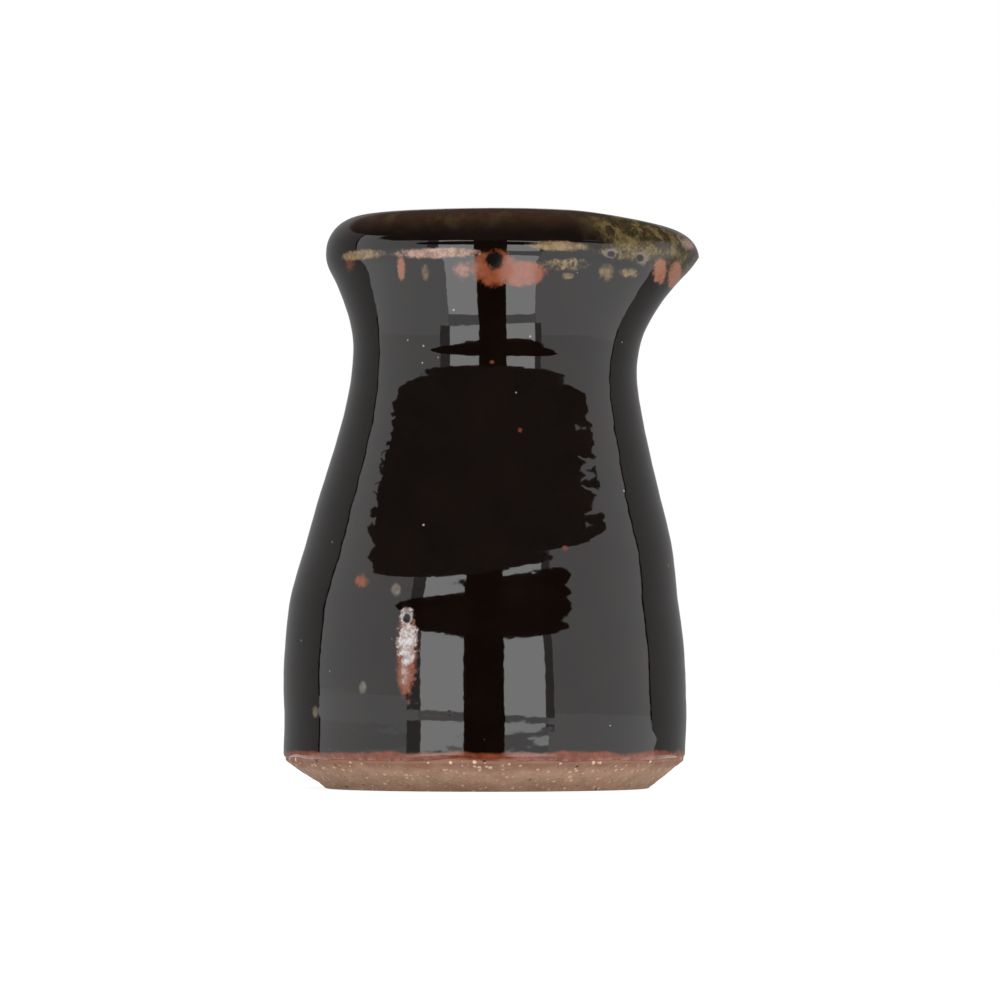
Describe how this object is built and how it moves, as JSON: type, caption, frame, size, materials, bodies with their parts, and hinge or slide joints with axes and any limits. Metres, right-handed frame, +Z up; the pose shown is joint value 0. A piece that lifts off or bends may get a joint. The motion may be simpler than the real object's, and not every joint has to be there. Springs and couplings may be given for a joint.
{
  "type": "stoneware pourer",
  "caption": "Small thrown stoneware jug without a handle, with a flat bevelled foot, full belly, concave neck, rounded collar and one pulled spout, in black-brown iron glaze.",
  "frame": {"origin": "centre of the belly's circle, on the resting face of the foot", "axes": "+Z up, +X towards the spout, the spout's middle lying in the XZ plane"},
  "size_m": [0.0655, 0.0634, 0.0899],
  "materials": {
    "bare_clay": "unglazed stoneware, matt, speckled with pale grog",
    "black_glaze": "high-gloss black-brown iron glaze with a few rust and pale specks",
    "breaking_glaze": "glossy, thin, breaking from black to olive, gold and rust",
    "inner_glaze": "glossy black-brown",
    "rust_glaze": "thin rust-coloured run-out, semi-gloss"
  },
  "bodies": {
    "root": {"clay_body": "bare_clay", "outer_glaze": "black_glaze", "rim_glaze": "breaking_glaze", "liner_glaze": "inner_glaze", "foot_glaze_edge": "rust_glaze"}
  },
  "joints": []
}
